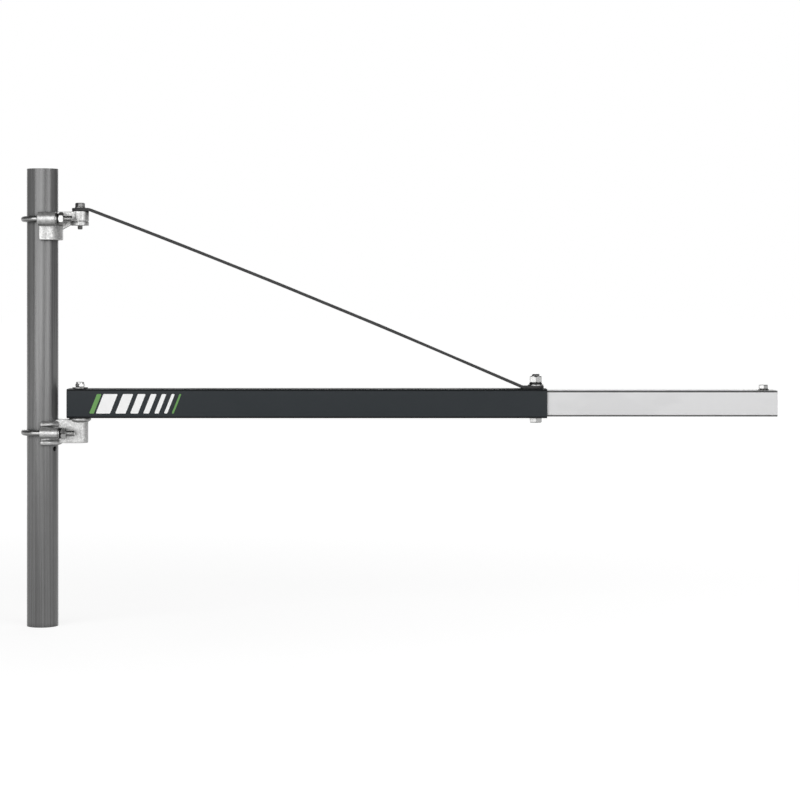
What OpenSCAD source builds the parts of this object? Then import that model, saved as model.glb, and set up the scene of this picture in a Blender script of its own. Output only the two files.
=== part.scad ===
// Swing jib for an electric hoist, clamped to a round scaffold pole.
// Millimetres. +Z up, +X along the jib at rest, origin at the centre of the pole's foot.

/* [Pole] */
// Outside diameter of the scaffold pole
pole_d = 48.3; // [44:0.1:54]
// Wall of the pole
pole_wall = 3.2; // [2:0.1:5]
// Length of the pole above the upper bracket's boss
pole_above = 65.4; // [20:0.1:400]
// Diameter of the cross-hole drilled through the pole
pole_hole_d = 8; // [5:0.5:12]
// Distance from the lower bracket's underside down to the cross-hole's axis
pole_hole_drop = 5.5; // [5.5:0.1:60]
// Direction of the cross-hole, turned from the jib towards the front
pole_hole_turn = 31; // [0:1:90]

/* [Jib tubes] */
// Side of the square outer tube
outer_size = 45; // [44:0.5:50]
// Wall of the outer tube
outer_wall = 2; // [1.5:0.1:2.4]
// Length of the outer tube
outer_len = 740; // [600:1:900]
// Outside radius of the outer tube's long edges
outer_edge_r = 4; // [2.5:0.1:6]
// Height of the outer tube's underside above the pole's foot
outer_z = 322; // [100:1:900]
// Gap all round between the outer tube and the extension tube
slide_gap = 0.5; // [0.3:0.1:1]
// Wall of the extension tube
ext_wall = 2; // [1.5:0.1:3]
// Length of the extension tube
ext_len = 555; // [500:1:600]
// Length of the extension tube that stands out of the outer tube
ext_out = 355; // [340:1:370]
// Outside radius of the extension tube's long edges
ext_edge_r = 3.5; // [2.5:0.1:5]

/* [Pivot line] */
// Distance from the pole's axis to the jib's vertical pivot line
pivot_x = 58; // [57:0.5:70]
// Length of the outer tube behind the pivot line
tail_len = 18; // [14:0.5:19]
// Diameter of the lower pivot bolt
lower_bolt_d = 8; // [8:0.5:12]
// Diameter of the upper pivot bolt
upper_bolt_d = 8; // [6:0.5:10]
// Radial play of the turning pieces on their pivot bolts
pivot_play = 0.1; // [0.05:0.01:0.3]
// Free height between two pieces that turn on each other
turn_gap = 0.3; // [0.2:0.1:0.5]
// Height of the lock nut on the lower pivot bolt
pivot_nut_h = 8; // [7:0.1:12]
// Height of the upper pivot bolt's head
upper_head_h = 6.2; // [5:0.1:8]

/* [Brace] */
// Width of the brace bar
brace_w = 25; // [20:0.5:30]
// Thickness of the brace bar
brace_t = 4.5; // [4:0.5:6]
// Distance from the upper eye's hole to the upper bend
upper_bend = 14.3; // [14:0.1:25]
// Distance from the lower eye's hole to the lower bend
lower_bend = 20; // [17:0.1:25]
// Inside radius of the two bends
brace_bend_r = 6; // [4:0.5:8]
// Upward bow of the brace at mid-span
brace_bow = 4.5; // [1:0.5:8]

/* [U-bolts] */
// Diameter of a U-bolt's shank
u_d = 9; // [8:0.5:10]
// Gap between the pole and the inside of the U-bolt's bend
u_gap = 0.1; // [0.1:0.1:0.4]
// Extra half-width of the U-bolt's legs beyond the pole
u_spread = 1.85; // [1.5:0.05:4]
// Radial clearance of the U-bolt's legs in the sleeves
u_clear = 0.75; // [0.3:0.05:1]
// Length of the thread that stands out of the lower clamp nuts
lower_stub = 12.8; // [6:0.1:20]
// Length of the thread that stands out of the upper clamp nuts
upper_stub = 12.9; // [6:0.1:20]

/* [Lower bracket] */
// Height of the lower bracket from its bottom to its round seat
lower_h = 41.6; // [40:0.1:60]
// Height of the lower U-bolt above the bracket's bottom
lower_u_up = 19.5; // [18.5:0.1:21]
// Outside radius of the lower sleeves
lower_sleeve_r = 7.8; // [7.5:0.1:9]
// Place of the lower sleeves' back end
lower_sleeve_x = 0.5; // [-4:0.1:2]
// Length of the lower sleeves
lower_sleeve_len = 28.2; // [22:0.1:32]
// Half-width of the lug, and radius of its nose
lug_r = 12.5; // [12:0.1:14]
// Radius of the round seat under the outer tube
seat_r = 17; // [15:0.1:20]
// Thickness of the seat's rim
seat_t = 3.5; // [3:0.1:6]
// Thickness of the lug's roof over the captive bolt head
head_roof = 9.5; // [8:0.1:12]

/* [Upper bracket] */
// Height of the upper boss's top above the outer tube
brace_rise = 274.6; // [200:0.1:330]
// Height of the upper boss
boss_h = 22.4; // [20:0.1:30]
// Radius of the upper boss
boss_r = 13.6; // [12:0.1:16]
// Height of the rim round the boss's foot
boss_rim_h = 5.4; // [4:0.1:8]
// Width of the groove above the rim
groove_h = 2; // [1:0.1:4]
// Outside radius of the upper sleeves
upper_sleeve_r = 10.6; // [10:0.1:11]
// Place of the upper sleeves' back end
upper_sleeve_x = -3.4; // [-8:0.1:-1]
// Length of the upper sleeves
upper_sleeve_len = 28.4; // [22:0.1:30]
// Height of the skirt below the upper sleeves
skirt_h = 23; // [14:0.5:30]
// Place of the skirt's back edge
skirt_back = -1.1; // [-8:0.1:1]
// Outside radius of the skirt's round nose
skirt_r = 30; // [29:0.5:33]

/* [Bolts at the jib's end] */
// Diameter of the lock bolt that pins the extension tube
lock_d = 12; // [10:0.5:12]
// Distance from the outer tube's end back to the lock bolt
lock_back = 16.5; // [16:0.5:24]
// Length of the lock bolt that stands out of its nut
lock_stub = 3; // [1:0.5:10]
// Diameter of the bolt near the jib's tip
tip_d = 8; // [6:0.5:8]
// Distance from the jib's tip back to the tip bolt
tip_back = 19; // [16:0.5:28]
// Height of the tip bolt's flanged head
tip_head_h = 8.6; // [6:0.1:10]
// Length of the tip bolt below its head
tip_len = 16; // [12:0.5:30]

/* [Hidden] */

$fn = 96;
eps = 0.5;             // how far a cutter reaches past the face it cuts
saddle_clear = 0.1;    // radial clearance of the castings round the pole
shell_t = 4.5;         // wall of the castings' saddles
hex_fit = 0.3;         // clearance each side of a nut or bolt head in its pocket
hole_fit = 0.25;       // radial clearance of bolts that don't turn
thread_fit = 0.02;     // radial clearance between a nut's bore and its thread
flat_washer_t = 2;     // clamp washers and the lock bolt's washer
spring_washer_t = 2.5;

pole_r = pole_d / 2;
saddle_r = pole_r + saddle_clear;

// Metric hardware: width across flats, head height and nut height by thread diameter
function across_flats(d) = d >= 12 ? 18 : d >= 10 ? 16 : 13;
function head_h(d) = round(d * 6.4) / 10;
function nut_h(d) = d - 1.4;
function corner_r(af) = af / 2 / cos(30);

// Jib
outer_x = pivot_x - tail_len;
outer_end = outer_x + outer_len;
outer_top = outer_z + outer_size;
outer_mid = outer_z + outer_size / 2;
upper_z = outer_top + brace_rise;
pole_h = upper_z + pole_above;
ext_size = outer_size - 2 * outer_wall - 2 * slide_gap;
ext_end = outer_end + ext_out;
lock_x = outer_end - lock_back;
tip_x = ext_end - tip_back;
ext_top = outer_mid + ext_size / 2;

// Clamps
u_leg = pole_r + u_spread + u_d / 2;
u_bend_x = u_leg - u_d / 2 - u_gap - pole_r;
u_bore_r = u_d / 2 + u_clear;
clamp_nut_d = 10;
clamp_nut_af = 17;
clamp_nut_h = 8;
clamp_stack = flat_washer_t + spring_washer_t + clamp_nut_h;
lower_seat = outer_z - turn_gap;
lower_z = lower_seat - lower_h;
lower_u_z = lower_z + lower_u_up;
lower_sleeve_end = lower_sleeve_x + lower_sleeve_len;
upper_sleeve_z = upper_z - upper_sleeve_r - 1.8;
upper_sleeve_end = upper_sleeve_x + upper_sleeve_len;

// Pivot hardware
pivot_washer_r = 12;
pivot_washer_t = 2;
lower_head_z = lower_seat - head_roof;
lower_nut_z = outer_top + turn_gap + pivot_washer_t;
lower_bolt_len = lower_nut_z + pivot_nut_h - lower_head_z;
brace_eye_z = upper_z + turn_gap;
upper_washer_t = 1.6;
upper_head_z = brace_eye_z + brace_t + turn_gap + upper_washer_t;
upper_bolt_len = 35;
upper_nut_z = upper_z - boss_h + 0.4;

// ---------- shared shapes ----------

// A hexagon prism with its flats across Y
module hex_prism(af, h) {
    rotate([0, 0, 30]) cylinder(r = corner_r(af), h = h, $fn = 6);
}

// Chamfers the ends of a prism or shank of radius r with a cone that leaves a flat of radius flat_r
module turned_ends(flat_r, r, h, slope = 30, low = true, high = true) {
    rim = r + 0.5;
    drop = (rim - flat_r) * tan(slope);
    intersection() {
        children();
        rotate_extrude() polygon(concat(
            [[0, 0]], low ? [[flat_r, 0], [rim, drop]] : [[rim, 0]],
            high ? [[rim, h - drop], [flat_r, h]] : [[rim, h]], [[0, h]]
        ));
    }
}

// A hexagon nut that stands on its own origin
module hex_nut(d, af, h) {
    difference() {
        turned_ends(af * 0.47, corner_r(af), h) hex_prism(af, h);
        translate([0, 0, -eps]) cylinder(r = d / 2 + thread_fit, h = h + 2 * eps);
    }
}

module ring_washer(d, r, t) {
    difference() {
        cylinder(r = r, h = t);
        translate([0, 0, -eps]) cylinder(r = d / 2 + hole_fit, h = t + 2 * eps);
    }
}

// A split spring washer: square section, one slanted cut
module split_washer(d, r, t) {
    difference() {
        ring_washer(d, r, t);
        translate([d / 2 - 1, 0, t / 2]) rotate([30, 0, 0])
            translate([0, -0.6, -t * 2]) cube([r, 1.2, t * 4]);
    }
}

// A hexagon head, chamfered on top
module hex_head(af, h) {
    turned_ends(af * 0.47, corner_r(af), h, low = false) hex_prism(af, h);
}

// A lock nut that stands on its own origin: a hexagon with a round collar on top
module collar_nut(d, af, h, collar_h) {
    collar_r = af * 0.48;
    round_r = 1.2;
    difference() {
        union() {
            turned_ends(af * 0.47, corner_r(af), h - collar_h) hex_prism(af, h - collar_h);
            rotate_extrude() {
                translate([0, h - collar_h - eps]) square([collar_r, collar_h + eps - round_r]);
                translate([0, h - round_r - eps]) square([collar_r - round_r, round_r + eps]);
                translate([collar_r - round_r, h - round_r]) intersection() {
                    circle(r = round_r);
                    square(round_r);
                }
            }
        }
        translate([0, 0, -eps]) cylinder(r = d / 2 + thread_fit, h = h + 2 * eps);
    }
}

// A hexagon-head bolt that hangs down from its head's seat at the origin
module hex_bolt(d, len, head) {
    hex_head(across_flats(d), head);
    translate([0, 0, -len + d * 0.1]) cylinder(r = d / 2, h = len - d * 0.1 + eps);
    translate([0, 0, -len]) cylinder(r1 = d * 0.4, r2 = d / 2, h = d * 0.1);
}

// A square with rounded corners, made of true arcs
module round_square(size, r) {
    square([size - 2 * r, size], center = true);
    square([size, size - 2 * r], center = true);
    for (i = [-1, 1], j = [-1, 1])
        translate([i * (size / 2 - r), j * (size / 2 - r)]) circle(r = r);
}

// A square tube along +X from the origin
module square_tube(size, wall, r, len) {
    rotate([90, 0, 90]) linear_extrude(len) difference() {
        round_square(size, r);
        round_square(size - 2 * wall, r - wall);
    }
}

// Places its children on each leg of a U-bolt, pointing along +X
module on_leg(side, x, z) {
    translate([x, side * u_leg, z]) rotate([0, 90, 0]) children();
}

// ---------- pole ----------

module pole() {
    color([0.42, 0.42, 0.42]) difference() {
        cylinder(r = pole_r, h = pole_h);
        translate([0, 0, -eps]) cylinder(r = pole_r - pole_wall, h = pole_h + 2 * eps);
        translate([0, 0, lower_z - pole_hole_drop]) rotate([0, 0, -pole_hole_turn])
            rotate([0, 90, 0]) cylinder(d = pole_hole_d, h = pole_d + 2, center = true);
    }
}

// ---------- U-bolts and their nuts ----------

// Half a ring round the back of the pole, of round bar
module u_bend(d) {
    translate([u_bend_x, 0, 0]) rotate([0, 0, 90]) rotate_extrude(angle = 180)
        translate([u_leg, 0]) circle(d = d);
}

// The bore of a sleeve, which follows the U-bolt into its bend
module u_bore(side, x, z, len) {
    translate([0, 0, z]) u_bend(2 * u_bore_r);
    on_leg(side, u_bend_x, z) cylinder(r = u_bore_r, h = x + len + eps - u_bend_x);
}

module u_bolt(z, end_x) {
    end_cham = 1;
    leg = end_x - u_bend_x;
    color([0.55, 0.55, 0.55]) translate([0, 0, z]) {
        u_bend(u_d);
        for (side = [-1, 1]) translate([u_bend_x, side * u_leg, 0]) rotate([0, 90, 0]) rotate_extrude()
            polygon([[0, 0], [u_d / 2, 0], [u_d / 2, leg - end_cham], [u_d / 2 - end_cham, leg], [0, leg]]);
    }
}

module lower_u_bolt() { u_bolt(lower_u_z, lower_sleeve_end + clamp_stack + lower_stub); }
module upper_u_bolt() { u_bolt(upper_sleeve_z, upper_sleeve_end + clamp_stack + upper_stub); }

module clamp_washer(side, x, z) {
    color([0.75, 0.75, 0.75]) on_leg(side, x, z) ring_washer(clamp_nut_d, 9.5, flat_washer_t);
}

module clamp_spring_washer(side, x, z) {
    color([0.12, 0.12, 0.12]) on_leg(side, x + flat_washer_t, z)
        split_washer(clamp_nut_d, 8, spring_washer_t);
}

module clamp_nut(side, x, z) {
    color([0.6, 0.6, 0.6]) on_leg(side, x + flat_washer_t + spring_washer_t, z)
        hex_nut(u_d, clamp_nut_af, clamp_nut_h);
}

// ---------- lower bracket ----------

// A rounded finger of the casting that lies round the pole, from one side to the other
module finger(z, h, back_x, reach) {
    r = h / 2;
    end_r = r * 0.8;
    translate([0, 0, z + r]) intersection() {
        rotate_extrude() {
            translate([saddle_r - 1, -r]) square([reach + 1 - r, h]);
            translate([saddle_r + reach - r, 0]) circle(r = r);
        }
        // the fingers' ends are rounded as seen from the side
        translate([0, pole_d, 0]) rotate([90, 0, 0]) linear_extrude(2 * pole_d) {
            translate([back_x + end_r, -r - eps]) square([pole_d, h + 2 * eps]);
            translate([back_x, -r + end_r]) square([2 * end_r, h - 2 * end_r]);
            for (side = [-1, 1]) translate([back_x + end_r, side * (r - end_r)]) circle(r = end_r);
        }
    }
}

// A hexagon pocket for a captive nut or bolt head, open below
module hex_pocket(d, z_roof, depth) {
    translate([pivot_x, 0, z_roof - depth])
        hex_prism(across_flats(d) + 2 * hex_fit, depth);
}

module lower_bracket() {
    top_finger = 9.4;
    low_finger = 9.2;
    finger_x = 1;
    finger_reach = 6.5;
    shell_x = 2;
    shell_h = lower_h - 4.5;
    cone_h = (seat_r - lug_r) * 0.45;
    lug_wall = 3.5;
    lug_up = 3;
    hollow_h = lower_head_z - head_h(lower_bolt_d) - 1 - lower_z;
    color([0.8, 0.8, 0.78]) difference() {
        union() {
            // saddle shell
            translate([0, 0, lower_z + 1]) intersection() {
                cylinder(r = saddle_r + shell_t, h = shell_h - 2);
                translate([shell_x, -pole_d, -eps]) cube([pole_d, 2 * pole_d, lower_h]);
            }
            finger(lower_z, low_finger, finger_x, finger_reach);
            finger(lower_z + shell_h - top_finger, top_finger, finger_x, finger_reach);
            // sleeves for the U-bolt's legs
            for (side = [-1, 1]) on_leg(side, lower_sleeve_x, lower_u_z)
                cylinder(r = lower_sleeve_r, h = lower_sleeve_len);
            // lug with a round nose
            translate([0, 0, lower_z + lug_up]) linear_extrude(lower_h - lug_up - 2) {
                translate([0, -lug_r]) square([pivot_x, 2 * lug_r]);
                translate([pivot_x, 0]) circle(r = lug_r);
            }
            // round seat on a cone
            translate([pivot_x, 0, lower_seat]) rotate_extrude() polygon([
                [0, -seat_t - cone_h - 2], [lug_r - 2, -seat_t - cone_h - 2],
                [seat_r, -seat_t], [seat_r, 0], [0, 0]
            ]);
        }
        // the pole's seat
        translate([0, 0, lower_z - eps]) cylinder(r = saddle_r, h = lower_h + 2 * eps);
        // bores for the U-bolt's legs
        for (side = [-1, 1]) u_bore(side, lower_sleeve_x, lower_u_z, lower_sleeve_len);
        // hollow of the lug, and the captive bolt head's pocket in its roof
        translate([0, 0, lower_z]) linear_extrude(hollow_h) {
            translate([saddle_r + shell_t + 2, lug_wall - lug_r])
                square([pivot_x - saddle_r - shell_t - 2, 2 * (lug_r - lug_wall)]);
            translate([pivot_x, 0]) circle(r = lug_r - lug_wall);
        }
        hex_pocket(lower_bolt_d, lower_head_z, lower_h - head_roof);
        translate([pivot_x, 0, lower_z])
            cylinder(r = lower_bolt_d / 2 + hole_fit, h = lower_h + eps);
    }
}

// ---------- upper bracket ----------

// The upper saddle's skirt: a round nose with straight flanks, its lower corners rounded
module skirt(z, h) {
    nose_x = 1.5;
    corner = 2.5;
    long = nose_x + skirt_r - skirt_back;
    intersection() {
        translate([0, 0, z]) linear_extrude(h) {
            translate([nose_x, 0]) circle(r = skirt_r);
            translate([skirt_back, -skirt_r]) square([nose_x - skirt_back, 2 * skirt_r]);
        }
        translate([skirt_back, skirt_r + 1, z]) rotate([90, 0, 0]) linear_extrude(2 * skirt_r + 2) {
            translate([0, corner]) square([long, h]);
            translate([corner, 0]) square([long - 2 * corner, h]);
            for (x = [corner, long - corner]) translate([x, corner]) circle(r = corner);
        }
    }
}

module upper_bracket() {
    skirt_top = upper_sleeve_z - upper_sleeve_r + 1;
    boss_z = upper_z - boss_h;
    neck_r = boss_r - 1.5;
    neck_z = boss_z + boss_rim_h + groove_h;
    arm_y = boss_r - 2;
    web_t = 7;
    web_drop = 7;
    color([0.8, 0.8, 0.78]) difference() {
        union() {
            skirt(skirt_top - skirt_h, skirt_h);
            // saddle shell between the sleeves
            translate([0, 0, skirt_top - 2]) intersection() {
                cylinder(r = saddle_r + shell_t, h = 2 * upper_sleeve_r - 2);
                translate([0, -pole_d, -eps]) cube([pole_d, 2 * pole_d, 3 * upper_sleeve_r]);
            }
            // sleeves for the U-bolt's legs, chamfered at the back
            for (side = [-1, 1]) on_leg(side, upper_sleeve_x, upper_sleeve_z)
                turned_ends(upper_sleeve_r - 1.6, upper_sleeve_r, upper_sleeve_len, 45, high = false)
                    cylinder(r = upper_sleeve_r, h = upper_sleeve_len);
            // boss with a rim round its foot
            translate([pivot_x, 0, boss_z]) rotate_extrude() polygon([
                [0, 0], [boss_r, 0], [boss_r, boss_rim_h], [neck_r, boss_rim_h + groove_h / 2],
                [boss_r, boss_rim_h + groove_h], [boss_r, boss_h], [0, boss_h]
            ]);
            // arm from the saddle to the boss
            translate([saddle_r, -arm_y, neck_z])
                cube([pivot_x - saddle_r, 2 * arm_y, upper_z - 1 - neck_z]);
            // slanted web under the arm
            translate([0, web_t / 2, 0]) rotate([90, 0, 0]) linear_extrude(web_t) polygon([
                [saddle_r, boss_z - web_drop], [skirt_r, boss_z - web_drop],
                [pivot_x - boss_r, boss_z + 1], [pivot_x, boss_z + 1],
                [pivot_x, neck_z + 1], [saddle_r, neck_z + 1]
            ]);
        }
        // the pole's seat
        cylinder(r = saddle_r, h = upper_z);
        // bores for the U-bolt's legs
        for (side = [-1, 1]) u_bore(side, upper_sleeve_x, upper_sleeve_z, upper_sleeve_len);
        // captive nut's pocket and the pivot bolt's hole
        hex_pocket(upper_bolt_d, upper_nut_z + nut_h(upper_bolt_d) + 0.1, nut_h(upper_bolt_d) + 9);
        translate([pivot_x, 0, boss_z]) cylinder(r = upper_bolt_d / 2 + hole_fit, h = boss_h + eps);
    }
}

// ---------- pivot hardware ----------

// The lower bolt comes up from its captive head in the lug to a lock nut on top of the jib
module lower_pivot_bolt() {
    color([0.6, 0.6, 0.6]) translate([pivot_x, 0, lower_head_z]) rotate([180, 0, 0])
        hex_bolt(lower_bolt_d, lower_bolt_len, head_h(lower_bolt_d));
}

module lower_pivot_washer() {
    color([0.75, 0.75, 0.75]) translate([pivot_x, 0, lower_nut_z - pivot_washer_t])
        ring_washer(lower_bolt_d, pivot_washer_r, pivot_washer_t);
}

module lower_pivot_nut() {
    color([0.6, 0.6, 0.6]) translate([pivot_x, 0, lower_nut_z])
        collar_nut(lower_bolt_d, across_flats(lower_bolt_d), pivot_nut_h, 2.5);
}

module upper_pivot_bolt() {
    color([0.6, 0.6, 0.6]) translate([pivot_x, 0, upper_head_z]) hex_bolt(upper_bolt_d, upper_bolt_len, upper_head_h);
}

module upper_pivot_washer() {
    color([0.75, 0.75, 0.75]) translate([pivot_x, 0, upper_head_z - upper_washer_t])
        ring_washer(upper_bolt_d, 8, upper_washer_t);
}

module upper_pivot_nut() {
    color([0.6, 0.6, 0.6]) translate([pivot_x, 0, upper_nut_z])
        hex_nut(upper_bolt_d, across_flats(upper_bolt_d), nut_h(upper_bolt_d));
}

// ---------- jib ----------

// A vertical hole through the jib's tubes
module tube_hole(x, r) {
    translate([x, 0, outer_z - eps]) cylinder(r = r, h = outer_size + 2 * eps);
}

module outer_tube() {
    color([0.2, 0.22, 0.23]) difference() {
        translate([outer_x, 0, outer_mid]) square_tube(outer_size, outer_wall, outer_edge_r, outer_len);
        tube_hole(pivot_x, lower_bolt_d / 2 + pivot_play);
        tube_hole(lock_x, lock_d / 2 + hole_fit);
    }
}

module extension_tube() {
    color([0.84, 0.84, 0.84]) difference() {
        translate([ext_end - ext_len, 0, outer_mid]) square_tube(ext_size, ext_wall, ext_edge_r, ext_len);
        tube_hole(lock_x, lock_d / 2 + hole_fit);
        translate([tip_x, 0, outer_mid]) cylinder(r = tip_d / 2 + hole_fit, h = outer_size);
    }
}

// Middle line of the brace seen from the side: flat eye, bend, long bow, bend, flat eye
brace_up_z = brace_eye_z + brace_t / 2;
brace_low_z = outer_top + brace_t / 2;
brace_mid_r = brace_bend_r + brace_t / 2;
bow_run = lock_x - pivot_x - upper_bend - lower_bend;
bow_fall = brace_up_z - brace_low_z;
bow_chord = norm([bow_run, bow_fall]);
bow_slope = atan(bow_fall / bow_run);
bow_turn = atan(4 * brace_bow / bow_chord);
start_slope = bow_slope - bow_turn;
end_slope = bow_slope + bow_turn;
start_cut = brace_mid_r * tan(start_slope / 2);
end_cut = brace_mid_r * tan(end_slope / 2);
bow_steps = 24;
bend_steps = 6;

// Each entry is [x, z, slope down in degrees]
function brace_line() = concat(
    [[pivot_x - brace_w, brace_up_z, 0]],
    [for (i = [0:bend_steps]) let (a = start_slope * i / bend_steps)
        [pivot_x + upper_bend - start_cut + brace_mid_r * sin(a),
         brace_up_z - brace_mid_r * (1 - cos(a)), a]],
    [for (i = [1:bow_steps - 1]) let (u = i / bow_steps, rise = 4 * brace_bow * u * (1 - u))
        [pivot_x + upper_bend + bow_run * u + rise * sin(bow_slope),
         brace_up_z - bow_fall * u + rise * cos(bow_slope),
         bow_slope - bow_turn * (1 - 2 * u)]],
    [for (i = [bend_steps:-1:0]) let (a = end_slope * i / bend_steps)
        [lock_x - lower_bend + end_cut - brace_mid_r * sin(a),
         brace_low_z + brace_mid_r * (1 - cos(a)), a]],
    [[lock_x + brace_w, brace_low_z, 0]]
);

// The middle line moved sideways by half the bar's thickness
function brace_side(s) = [for (p = brace_line())
    [p[0] + s * brace_t / 2 * sin(p[2]), p[1] + s * brace_t / 2 * cos(p[2])]];
function backwards(list) = [for (i = [len(list) - 1:-1:0]) list[i]];

module brace() {
    eye_r = brace_w / 2;
    plan_h = brace_rise + brace_t + 2;
    color([0.22, 0.22, 0.22]) difference() {
        intersection() {
            translate([0, eye_r, 0]) rotate([90, 0, 0]) linear_extrude(brace_w)
                polygon(concat(brace_side(1), backwards(brace_side(-1))));
            union() {
                for (x = [pivot_x, lock_x]) translate([x, 0, outer_top - eps])
                    cylinder(r = eye_r, h = plan_h);
                translate([pivot_x, -eye_r, outer_top - eps]) cube([lock_x - pivot_x, brace_w, plan_h]);
            }
        }
        translate([pivot_x, 0, brace_up_z - brace_t])
            cylinder(r = upper_bolt_d / 2 + pivot_play, h = 2 * brace_t);
        translate([lock_x, 0, brace_low_z - brace_t])
            cylinder(r = lock_d / 2 + hole_fit, h = 2 * brace_t);
    }
}

// ---------- lock bolt ----------

lock_stack = outer_top + brace_t;

module lock_bolt() {
    dome = 3;
    color([0.6, 0.6, 0.6]) translate([lock_x, 0, outer_z]) {
        mirror([0, 0, 1]) hex_head(across_flats(lock_d), head_h(lock_d));
        bolt_h = lock_stack + flat_washer_t + spring_washer_t + nut_h(lock_d) + lock_stub - outer_z;
        translate([0, 0, -eps]) cylinder(d = lock_d, h = bolt_h - dome + eps);
        translate([0, 0, bolt_h - dome]) cylinder(d1 = lock_d, d2 = lock_d - 2 * dome, h = dome);
    }
}

module lock_washer() {
    color([0.75, 0.75, 0.75]) translate([lock_x, 0, lock_stack]) ring_washer(lock_d, 12, flat_washer_t);
}

module lock_spring_washer() {
    color([0.12, 0.12, 0.12]) translate([lock_x, 0, lock_stack + flat_washer_t])
        split_washer(lock_d, 10, spring_washer_t);
}

module lock_nut() {
    color([0.6, 0.6, 0.6]) translate([lock_x, 0, lock_stack + flat_washer_t + spring_washer_t])
        hex_nut(lock_d, across_flats(lock_d), nut_h(lock_d));
}

// ---------- tip bolt ----------

module tip_bolt() {
    flange_r = 8.9;
    flange_t = 1.5;
    flange_slope = 1.2;
    color([0.6, 0.6, 0.6]) translate([tip_x, 0, ext_top]) {
        cylinder(r = flange_r, h = flange_t);
        translate([0, 0, flange_t]) cylinder(r1 = flange_r, r2 = across_flats(tip_d) / 2, h = flange_slope);
        hex_head(across_flats(tip_d), tip_head_h);
        translate([0, 0, -tip_len]) cylinder(d = tip_d, h = tip_len + eps);
    }
}

module tip_nut() {
    color([0.6, 0.6, 0.6]) translate([tip_x, 0, ext_top - ext_wall - nut_h(tip_d)])
        hex_nut(tip_d, across_flats(tip_d), nut_h(tip_d));
}

// ---------- the crane ----------

pole();
lower_bracket();
upper_bracket();
lower_u_bolt();
upper_u_bolt();
clamp_washer(-1, lower_sleeve_end, lower_u_z);  // lower_front_washer
clamp_spring_washer(-1, lower_sleeve_end, lower_u_z);  // lower_front_spring_washer
clamp_nut(-1, lower_sleeve_end, lower_u_z);  // lower_front_nut
clamp_washer(1, lower_sleeve_end, lower_u_z);  // lower_rear_washer
clamp_spring_washer(1, lower_sleeve_end, lower_u_z);  // lower_rear_spring_washer
clamp_nut(1, lower_sleeve_end, lower_u_z);  // lower_rear_nut
clamp_washer(-1, upper_sleeve_end, upper_sleeve_z);  // upper_front_washer
clamp_spring_washer(-1, upper_sleeve_end, upper_sleeve_z);  // upper_front_spring_washer
clamp_nut(-1, upper_sleeve_end, upper_sleeve_z);  // upper_front_nut
clamp_washer(1, upper_sleeve_end, upper_sleeve_z);  // upper_rear_washer
clamp_spring_washer(1, upper_sleeve_end, upper_sleeve_z);  // upper_rear_spring_washer
clamp_nut(1, upper_sleeve_end, upper_sleeve_z);  // upper_rear_nut
lower_pivot_bolt();
lower_pivot_washer();
lower_pivot_nut();
upper_pivot_bolt();
upper_pivot_washer();
upper_pivot_nut();
outer_tube();
extension_tube();
brace();
lock_bolt();
lock_washer();
lock_spring_washer();
lock_nut();
tip_bolt();
tip_nut();
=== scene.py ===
"""Dresses a small swing jib crane on its scaffold pole: castings, U-bolts, threads, paint and stage.

Every piece is a numpy surface or a softened copy of a construction solid, in metres, in the crane's own
frame: +Z up the pole, +X along the jib, the origin at the centre of the pole's foot.
"""
import math
from contextlib import contextmanager

import bmesh
import bpy
import numpy as np
from bpy.props import FloatProperty, FloatVectorProperty, IntProperty, PointerProperty
from bpy.types import Operator, Panel, PropertyGroup
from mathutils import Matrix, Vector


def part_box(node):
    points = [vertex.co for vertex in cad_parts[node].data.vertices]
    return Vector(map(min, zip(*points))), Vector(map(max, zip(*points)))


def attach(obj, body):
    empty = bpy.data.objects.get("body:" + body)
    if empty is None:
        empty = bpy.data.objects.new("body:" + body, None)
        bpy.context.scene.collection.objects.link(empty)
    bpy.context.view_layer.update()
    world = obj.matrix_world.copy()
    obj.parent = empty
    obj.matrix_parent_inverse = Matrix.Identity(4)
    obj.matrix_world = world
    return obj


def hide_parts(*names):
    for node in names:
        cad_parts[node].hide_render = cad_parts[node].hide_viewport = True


bl_info = {
    "name": "Swing Jib Crane",
    "version": (1, 0, 0),
    "blender": (4, 5, 0),
    "location": "View3D > Sidebar > Jib Crane",
    "description": "Dresses a swing jib crane and sets its stage",
    "category": "Object",
}

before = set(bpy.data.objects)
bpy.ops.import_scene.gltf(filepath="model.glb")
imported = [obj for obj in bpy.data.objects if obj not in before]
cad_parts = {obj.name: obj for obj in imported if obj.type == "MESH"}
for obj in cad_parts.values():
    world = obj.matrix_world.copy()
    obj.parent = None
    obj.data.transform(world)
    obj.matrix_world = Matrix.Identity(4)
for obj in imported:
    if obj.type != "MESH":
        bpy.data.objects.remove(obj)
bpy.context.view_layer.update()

MM = 0.001
TURN = 2.0 * math.pi


# ------------ sizes read from the frame

def span(node):
    """Lowest corner, highest corner and centre of a construction solid, as arrays."""
    low, high = (np.array(corner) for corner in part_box(node))
    return low, high, (low + high) / 2


ARM_LOW, ARM_HIGH, ARM_MID = span("outer_tube")
EXT_LOW, EXT_HIGH, _ = span("extension_tube")


# ------------ settings

def colour_setting(name, description, default):
    """A colour in the panel."""
    return FloatVectorProperty(
        name=name, description=description, subtype="COLOR", size=3, min=0.0, max=1.0, default=default)


def length_setting(name, description, default, low, high):
    """A length in the panel, in metres."""
    return FloatProperty(
        name=name, description=description, unit="LENGTH", default=default, min=low, max=high)


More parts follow.
